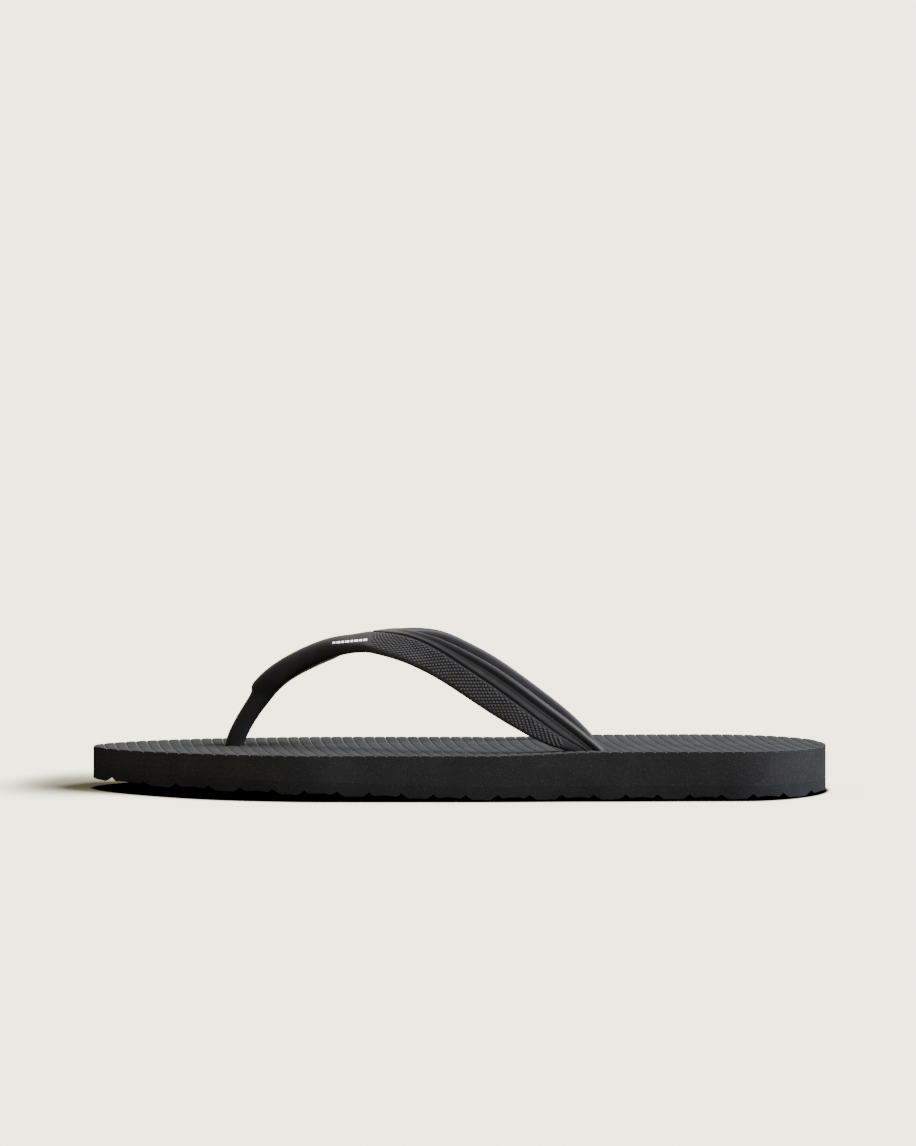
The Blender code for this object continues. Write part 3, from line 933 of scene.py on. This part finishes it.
# %% Blade section
def blade_section(i):
    """Corners of the section at ring i, as distances and heights in metres."""
    width = np.linalg.norm(strap_edges[i, 1] - strap_edges[i, 0]) / MM
    groove = groove_share[i] * width
    bead = width - bead_width[i]
    cut = 1.0 * groove_fade[i]
    roll = bead_fade[i]
    mouth = float(ease(-abs(i - len(strap_edges) // 2), -MOUTH - 2.0, -MOUTH + 1.0))
    corners = [
        (0.0, -1.9), (0.25, -0.6 + 0.58 * mouth), (1.2, -0.05), (0.5 * groove + 0.3, 0.10),
        (groove - 0.8, 0.05),
        (groove - 0.34, 0.02), (groove - 0.13, -cut), (groove + 0.13, -cut),
        (groove + 0.34, 0.18 * groove_fade[i]), (groove + 1.0, 0.22), (0.5 * (groove + bead), 0.20),
        (bead - 0.40, 0.12), (bead, 0.12 + 0.45 * roll), (bead + 0.38, 0.02 - 0.25 * roll),
        (bead + 0.32 * bead_width[i], 0.62 * roll), (bead + 0.66 * bead_width[i], 0.85 * roll),
        (width - 0.25, 0.30 * roll - 0.45), (width, -1.6), (width - 0.5, 0.2 - BLADE),
        (0.66 * width, -BLADE), (0.33 * width, -BLADE - 0.7 * mouth),
        (0.7 - 0.4 * mouth, 0.1 - BLADE - 1.4 * mouth)]
    return np.array(corners) * MM


SECTION = 22
BAND_CORNERS = (5, 12)
BEAD_CORNERS = (12, 17)


def ring_frame(i):
    """Front edge, direction across the blade, and direction out of its face."""
    front, rear = strap_edges[i]
    middles = strap_edges.mean(axis=1)
    ahead = middles[min(i + 1, len(middles) - 1)] - middles[max(i - 1, 0)]
    across = (rear - front) / np.linalg.norm(rear - front)
    out = np.cross(across, ahead)
    out = out / np.linalg.norm(out)
    if i in (0, len(middles) - 1):
        out = np.array([0.0, math.copysign(1.0, out[1]), 0.0])
    return front, across, out


def blade_ring(i):
    front, across, out = ring_frame(i)
    corners = blade_section(i)
    lift = 0.5 * BLADE * MM
    return front + corners[:, :1] * across + (corners[:, 1:] + lift) * out


blade_rings = np.array([blade_ring(i) for i in range(len(strap_edges))])
sunk = np.array([0.0, 0.0, -0.0006])
blade_rings = np.concatenate([blade_rings[:1] + sunk, blade_rings, blade_rings[-1:] + sunk])
print("blade rings", blade_rings.shape)

# %% [markdown]
# The neck leaves the yoke's nose with a rounded, flat-bottomed section and narrows into
# the toe post. It ends in a small blunt lip over the post. Each ring is given by its
# front or upper point, its rear or lower point and its half width.

# %% Neck and toe post rings
NECK = np.array([
    (-48.5, 42.8, -46.4, 34.4, 12.8),
    (-54.0, 41.2, -51.4, 32.6, 10.6),
    (-59.5, 39.0, -56.2, 30.3, 9.2),
    (-65.0, 36.3, -60.4, 28.3, 8.3),
    (-70.0, 33.5, -64.0, 26.2, 7.4),
    (-74.4, 30.4, -67.0, 24.2, 6.6),
    (-77.8, 27.4, -69.2, 22.2, 5.8),
    (-79.8, 25.1, -70.8, 20.6, 5.1),
    (-80.8, 23.7, -72.0, 19.2, 4.6),
    (-81.0, 22.5, -73.0, 18.0, 4.2),
    (-80.7, 21.4, -73.8, 16.9, 4.0),
    (-82.0, 18.9, -75.2, 15.2, 3.8),
    (-84.1, 15.6, -77.2, 12.6, 3.7),
    (-86.6, 11.5, -79.4, 9.3, 3.6),
    (-88.8, 7.4, -81.4, 5.9, 3.6),
    (-90.5, 3.4, -82.9, 2.6, 3.6),
    (-91.2, 0.3, -83.8, 0.3, 3.7),
    (-91.2, -0.5, -83.8, -0.5, 3.7),
]) * MM


def neck_corner(row, angle):
    """Point of a neck ring; the angle turns from the inner side over the top."""
    front_x, front_height, rear_x, rear_height, half = NECK[row]
    low = np.array([rear_x, float(strap_middle(rear_x)), FOREFOOT_TOP + rear_height])
    high = np.array([front_x, float(strap_middle(front_x)), FOREFOOT_TOP + front_height])
    sideways = math.copysign(abs(math.cos(angle)) ** 0.85, math.cos(angle))
    rise = abs(math.sin(angle)) ** (0.85 if math.sin(angle) > 0.0 else 0.6)
    share = 0.45 + (0.55 if math.sin(angle) > 0.0 else -0.45) * rise
    return low + (high - low) * share + np.array([0.0, half * sideways, 0.0])


def mouth_angle(ring, corner, middle):
    """Turns a corner of the yoke's opening into an angle round the neck."""
    side = ring - middle
    if corner == 0:
        return math.pi if side < 0 else 0.0
    angle = math.pi * (0.5 - side / (2.0 * (MOUTH + 1)))
    return angle if corner == 1 else -angle

# %% [markdown]
# The strap's mesh starts as a grid with one column per ring. Its two long borders are
# merged, which makes a tube, and its ends are filled. Then the front edge is opened at the
# middle of the yoke, and the opening is extruded once for every ring of the neck. A
# subdivision modifier rounds the whole cage.

# %% Strap cage
def point_values(piece, name):
    values = np.zeros(len(piece.data.vertices), dtype=np.int32)
    piece.data.attributes[name].data.foreach_get("value", values)
    return values


def blade_tube():
    rings = len(blade_rings)
    clear_selection()
    bpy.ops.mesh.primitive_grid_add(x_subdivisions=rings - 1, y_subdivisions=SECTION, size=2.0)
    tube = bpy.context.object
    grid = vertex_array(tube)
    ring = grid_index(grid[:, 0], rings - 1)
    corner = grid_index(grid[:, 1], SECTION) % SECTION
    set_vertices(tube, blade_rings[ring, corner])
    for name, values in (("ring", ring), ("corner", corner)):
        marks = tube.data.attributes.new(name, "INT", "POINT")
        marks.data.foreach_set("value", values.astype(np.int32))
    make_active(tube)
    bpy.ops.object.mode_set(mode="EDIT")
    bpy.ops.mesh.select_all(action="SELECT")
    bpy.ops.mesh.remove_doubles(threshold=1e-6)
    bpy.ops.mesh.fill_holes(sides=0)
    bpy.ops.object.mode_set(mode="OBJECT")
    return tube


def open_mouth(tube, middle):
    """Deletes the front edge's faces at the yoke's middle, and selects the rim."""
    ring, corner = point_values(tube, "ring"), point_values(tube, "corner")
    near = np.abs(ring - middle) <= MOUTH
    chosen = near & np.isin(corner, (SECTION - 1, 0, 1))
    select_points(tube, chosen)
    bpy.ops.object.mode_set(mode="EDIT")
    bpy.ops.mesh.select_mode(type="FACE")
    bpy.ops.mesh.delete(type="FACE")
    bpy.ops.mesh.select_mode(type="VERT")
    bpy.ops.mesh.select_all(action="DESELECT")
    bpy.ops.mesh.select_non_manifold()
    bpy.ops.object.mode_set(mode="OBJECT")


def extrude_neck(tube, middle):
    for row in range(len(NECK)):
        bpy.ops.object.mode_set(mode="EDIT")
        bpy.ops.mesh.extrude_region_move(TRANSFORM_OT_translate={"value": (-0.001, 0.0, 0.0)})
        bpy.ops.object.mode_set(mode="OBJECT")
        points = vertex_array(tube)
        ring, corner = point_values(tube, "ring"), point_values(tube, "corner")
        for i in np.flatnonzero(selected_points(tube)):
            key = 1 if corner[i] == 1 else 0 if corner[i] == 0 else -1
            points[i] = neck_corner(row, mouth_angle(ring[i], key, middle))
        set_vertices(tube, points)
    bpy.ops.object.mode_set(mode="EDIT")
    bpy.ops.mesh.edge_face_add()
    finish_edit()


def paint_strap(tube):
    """Panel, band and bead finishes by the corners a face lies between."""
    for finish in (panel_rubber, band_rubber, bead_rubber):
        tube.data.materials.append(finish)
    corner = point_values(tube, "corner")
    for face in tube.data.polygons:
        low, high = corner[list(face.vertices)].min(), corner[list(face.vertices)].max()
        if low >= BAND_CORNERS[0] and high <= BAND_CORNERS[1]:
            face.material_index = 1
        elif low >= BEAD_CORNERS[0] and high <= BEAD_CORNERS[1]:
            face.material_index = 2
        else:
            face.material_index = 0


def build_strap():
    tube = blade_tube()
    middle = (len(blade_rings) - 1) // 2
    open_mouth(tube, middle)
    extrude_neck(tube, middle)
    paint_strap(tube)
    name_piece(tube, "strap")
    apply_modifier(tube, "SUBSURF", levels=3)
    bpy.ops.object.shade_smooth()
    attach(tube, "root")
    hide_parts("thong_strap")
    report_piece(tube)
    return tube


strap = build_strap()

# %% [markdown]
# Hundreds of small raised lozenges cover the panel of both blades, in a lattice that runs
# with the blade. One pip is a four-sided cone with its tip cut off. An array makes the
# copies, and each copy is laid on the strap's surface at its own lattice point.

# %% Pips
PIP_AHEAD = 1.134
PIP_ACROSS = 0.695
PIP_HALF = (0.82, 0.50)
PIP_TOP_SHARE = 0.56
PIP_HEIGHT = 0.34
PIP_SINK = 0.12
PANEL_START = 1.3
PANEL_END = 0.95
PIP_RANGE = (-0.0330, 0.0385)


def surface_tree(piece):
    mesh = piece.data
    return BVHTree.FromPolygons([v.co.copy() for v in mesh.vertices],
                                [list(face.vertices) for face in mesh.polygons])


def branch_lattice(first, last):
    """Lattice points between two rings: a point over the face, the way ahead and outwards."""
    rings = np.arange(first, last + 1)
    middles = strap_edges[rings].mean(axis=1)
    run = np.concatenate([[0.0], np.cumsum(np.linalg.norm(np.diff(middles, axis=0), axis=1))]) / MM
    places = []
    for column in range(1, int(run[-1] / PIP_AHEAD)):
        ring = float(np.interp(column * PIP_AHEAD, run, rings))
        low = min(int(ring), last - 1)
        share = ring - low
        front, rear = (1.0 - share) * strap_edges[low] + share * strap_edges[low + 1]
        width = float(np.linalg.norm(rear - front)) / MM
        across = (rear - front) / (width * MM)
        ahead = middles[low + 1 - first] - middles[low - first]
        out = np.cross(across, ahead)
        out = out / np.linalg.norm(out)
        end = float(np.interp(ring, range(len(groove_share)), groove_share)) * width - PANEL_END
        for row in range(column % 2, int(end / PIP_ACROSS) + 1, 2):
            if row * PIP_ACROSS >= PANEL_START:
                place = front + row * PIP_ACROSS * MM * across + 0.5 * BLADE * MM * out
                places.append((place, ahead / np.linalg.norm(ahead)))
    return places


def lay_pip(pattern, place, ahead, tree):
    """One pip's corners on the surface nearest to a point."""
    spot, normal, _, _ = tree.find_nearest(Vector(place))
    normal = np.array(normal)
    along = ahead - normal * float(ahead @ normal)
    along = along / np.linalg.norm(along)
    side = np.cross(normal, along)
    return np.array(spot) + pattern @ np.array([along, side, normal])


def build_pips():
    tree = surface_tree(strap)
    middle = (len(strap_edges) - 1) // 2
    places = branch_lattice(1, middle - 1) + branch_lattice(middle + 1, len(strap_edges) - 2)
    places = [(spot, ahead) for spot, ahead in places if PIP_RANGE[0] < spot[0] < PIP_RANGE[1]]
    clear_selection()
    bpy.ops.mesh.primitive_cone_add(vertices=4, radius1=1.0, radius2=PIP_TOP_SHARE, depth=1.0)
    pips = bpy.context.object
    pattern = vertex_array(pips)
    pattern[:, :2] *= np.array(PIP_HALF) * MM
    pattern[:, 2] = np.where(pattern[:, 2] > 0.0, PIP_HEIGHT, -PIP_SINK) * MM
    apply_modifier(pips, "ARRAY", count=len(places), use_relative_offset=False,
                   use_constant_offset=True, constant_offset_displace=(4.0, 0.0, 0.0))
    set_vertices(pips, np.concatenate([lay_pip(pattern, *place, tree) for place in places]))
    bpy.ops.object.shade_flat()
    pips.data.materials.append(pip_rubber)
    name_piece(pips, "strap_pips")
    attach(pips, "root")
    report_piece(pips)
    print("pips", len(places))


build_pips()

# %% [markdown]
# A row of small pale dashes is printed on the outer face of the yoke, in place of any
# lettering. A narrow grid is laid on the strap, the faces between the dashes are deleted,
# and the rest gets a film's thickness.

# %% Printed dashes
DASH_START = -0.0484
DASH_END = -0.0350
DASH_HEIGHT = 0.0568
DASH_SLOPE = 0.095
DASH_TALL = 0.0007
DASH_COLUMNS = 27
INK_THICKNESS = 0.00006


def build_dashes():
    tree = surface_tree(strap)
    clear_selection()
    bpy.ops.mesh.primitive_grid_add(x_subdivisions=DASH_COLUMNS, y_subdivisions=2, size=2.0)
    dashes = bpy.context.object
    flat = vertex_array(dashes)
    x = DASH_START + (flat[:, 0] + 1.0) * 0.5 * (DASH_END - DASH_START)
    height = DASH_HEIGHT + DASH_SLOPE * (x - DASH_START) + 0.5 * DASH_TALL * flat[:, 1]
    laid = []
    for px, pz in zip(x, height):
        spot, normal, _, _ = tree.ray_cast(Vector((px, -0.1, pz)), Vector((0.0, 1.0, 0.0)))
        laid.append(np.array(spot) + 0.4 * INK_THICKNESS * np.array(normal))
    set_vertices(dashes, np.array(laid))
    column = grid_index(flat[:, 0], DASH_COLUMNS)
    select_points(dashes, np.isin(column % 7, (2, 3, 6, 0)) & (column > 0))
    bpy.ops.object.mode_set(mode="EDIT")
    bpy.ops.mesh.select_mode(type="FACE")
    bpy.ops.mesh.delete(type="FACE")
    bpy.ops.object.mode_set(mode="OBJECT")
    apply_modifier(dashes, "SOLIDIFY", thickness=INK_THICKNESS, offset=1.0)
    dashes.data.materials.append(print_ink)
    name_piece(dashes, "printed_dashes")
    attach(dashes, "root")
    report_piece(dashes)


build_dashes()

# %% [markdown]
# The floor is bright, so it hides the narrow dark line where the sole meets it. A thin
# sheet just over the floor brings that shade back: dark under the sole and for a couple of
# millimetres round it, then fading out, with a soft patch beyond the toe.

# %% Contact shade
SHADE_LOW = np.array([-0.215, -0.075])
SHADE_HIGH = np.array([0.165, 0.115])
SHADE_CELL = 0.001
SHADE_OVER_FLOOR = 0.00004
SHADE_REACH = 0.0045
TOE_FADE = 0.060
HEEL_FADE = 0.035
PATCH_MIDDLE = (-0.152, 0.020)
PATCH_REACH = (0.034, 0.060)
PATCH_DARKNESS = 0.60


def shade_amount(points):
    """How dark the floor is at each point, from 0 to 1."""
    x, y = points[:, 0], points[:, 1]
    inside = (x > TOE_X) & (x < TOE_X + SOLE_LENGTH)
    inside &= np.abs(y - centre_shift(x)) < half_width(np.clip(x, TOE_X, TOE_X + SOLE_LENGTH))
    outwards = np.where(inside, 0.0, edge_distance(points[:, :2]))
    side = ease(x, TOE_X, TOE_X + TOE_FADE) * ease(TOE_X + SOLE_LENGTH - x, 0.0, HEEL_FADE)
    side = side * ease(-y, -0.020, 0.0)
    contact = 1.0 - ease(outwards - SHADE_REACH * side, 0.0, 0.0020 + 0.0038 * side)
    from_patch = np.hypot((x - PATCH_MIDDLE[0]) / PATCH_REACH[0],
                          (y - PATCH_MIDDLE[1]) / PATCH_REACH[1])
    patch = PATCH_DARKNESS * (1.0 - ease(from_patch, 0.20, 1.20))
    return np.maximum(contact, patch)


def add_contact_shade():
    cells = np.rint((SHADE_HIGH - SHADE_LOW) / SHADE_CELL).astype(int)
    clear_selection()
    bpy.ops.mesh.primitive_grid_add(x_subdivisions=int(cells[0]), y_subdivisions=int(cells[1]),
                                    size=2.0)
    sheet = bpy.context.object
    sheet.name = "contact_shade"
    points = vertex_array(sheet)
    points[:, :2] = SHADE_LOW + (points[:, :2] + 1.0) * 0.5 * (SHADE_HIGH - SHADE_LOW)
    points[:, 2] = SHADE_OVER_FLOOR
    set_vertices(sheet, points)
    amount = sheet.data.attributes.new("shade_amount", "FLOAT", "POINT")
    amount.data.foreach_set("value", shade_amount(points))
    material, tree, shader = new_finish("contact_shade", 0.0)
    shader.inputs["Base Color"].default_value = (0.0, 0.0, 0.0, 1.0)
    shader.inputs["Roughness"].default_value = 1.0
    shade = add_node(tree, "ShaderNodeAttribute", {"attribute_name": "shade_amount"}).outputs["Fac"]
    tree.links.new(shade, shader.inputs["Alpha"])
    sheet.data.materials.append(material)


add_contact_shade()
